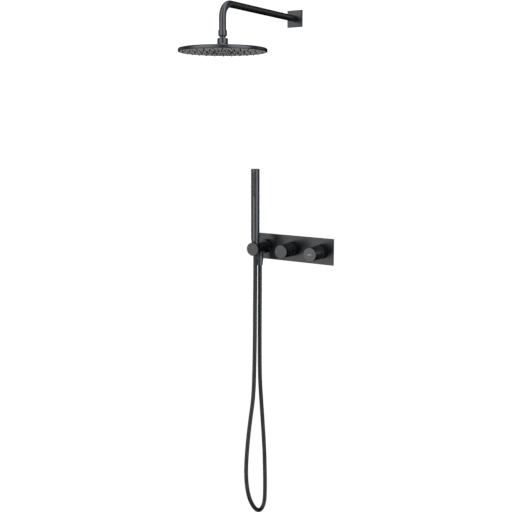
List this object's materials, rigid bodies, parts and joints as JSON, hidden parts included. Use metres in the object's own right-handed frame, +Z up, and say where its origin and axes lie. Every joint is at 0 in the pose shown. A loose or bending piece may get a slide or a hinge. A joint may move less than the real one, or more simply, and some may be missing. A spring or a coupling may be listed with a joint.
{
  "type": "concealed shower set",
  "caption": "Concealed wall shower set: cover plate with stick hand shower on its holder and hose outlet, diverter and mixer knobs, and a rain head on a wall arm.",
  "frame": {"origin": "on the finished wall, behind the centre of the cover plate", "axes": "+X to the right as the user faces the wall, +Y into the wall, +Z up"},
  "size_m": [0.3, 0.56, 1.7106],
  "materials": {
    "dark_satin": "satin anthracite coating",
    "plate_satin": "satin anthracite coating on sheet",
    "spray_face": "satin grey",
    "hose_metal": "dark nickelled metal spiral",
    "nozzle_rubber": "matt silicone",
    "seal_rubber": "matt rubber",
    "foam": "closed-cell foam",
    "brass": "cast and turned brass",
    "plastic": "moulded plastic",
    "steel": "stainless steel",
    "index_mark": "pale filled line"
  },
  "bodies": {
    "root": {"wall_plate": "plate_satin", "plate_gasket": "foam", "valve_manifold": "brass", "inlet_check_valves": "plastic", "mounting_bracket": "steel", "bracket_screws": "steel", "diverter_cartridge": "plastic", "mixer_cartridge": "plastic", "diverter_cartridge_nut": "brass", "mixer_cartridge_nut": "brass", "diverter_sleeve": "dark_satin", "mixer_sleeve": "dark_satin", "sleeve_seals": "seal_rubber", "supply_nipple": "brass", "holder_rosette": "dark_satin", "holder_body": "dark_satin", "holder_cap": "dark_satin", "outlet_nipple": "brass", "outlet_check_valve": "plastic", "outlet_hose_nut": "dark_satin", "outlet_ferrule": "brass", "outlet_washer": "seal_rubber", "shower_hose": "hose_metal", "shower_arm": "dark_satin", "arm_escutcheon": "dark_satin", "escutcheon_grub_screw": "steel", "arm_seal": "seal_rubber", "ball_nut": "dark_satin"},
    "diverter": {"diverter_knob": "dark_satin", "diverter_insert": "plastic", "diverter_spindle": "brass", "diverter_grub_screw": "steel"},
    "mixer": {"mixer_knob": "dark_satin", "mixer_insert": "plastic", "mixer_spindle": "brass", "mixer_grub_screw": "steel", "mixer_index": "index_mark"},
    "hose_end_nut": {"handset_hose_nut": "dark_satin", "handset_ferrule": "brass", "handset_washer": "seal_rubber"},
    "hand_shower": {"handset_tube": "dark_satin", "handset_end_cap": "dark_satin", "nozzle_strip": "nozzle_rubber", "handset_waterway": "plastic", "handset_adaptor": "dark_satin", "flow_limiter": "plastic"},
    "swivel_seat": {"ball_seat": "plastic"},
    "rain_head": {"ball_stud": "dark_satin", "head_hub": "dark_satin", "hub_lock_nut": "brass", "head_shell": "dark_satin", "spray_plate": "spray_face", "nozzle_mat": "nozzle_rubber", "distribution_plate": "plastic", "hub_seal": "seal_rubber"}
  },
  "joints": [
    {"name": "diverter_turn", "type": "hinge", "parent": "root", "child": "diverter", "pos_m": [0, -0.06, 0], "axis": [0, -1, 0], "range_deg": [-90, 90]},
    {"name": "mixer_turn", "type": "hinge", "parent": "root", "child": "mixer", "pos_m": [0.107, -0.06, 0], "axis": [0, -1, 0], "range_deg": [0, 120]},
    {"name": "handset_lift", "type": "slide", "parent": "root", "child": "hose_end_nut", "axis": [0, 0, 1], "range_m": [0, 0.05]},
    {"name": "handset_turn", "type": "hinge", "parent": "hose_end_nut", "child": "hand_shower", "pos_m": [-0.107, -0.0715, 0.02], "axis": [0, 0, 1], "continuous": true},
    {"name": "head_swivel", "type": "hinge", "parent": "root", "child": "swivel_seat", "pos_m": [0, -0.4, 0.6545], "axis": [0, 0, 1], "continuous": true},
    {"name": "head_tilt", "type": "hinge", "parent": "swivel_seat", "child": "rain_head", "pos_m": [0, -0.4, 0.6545], "axis": [1, 0, 0], "range_deg": [-15, 15]}
  ]
}
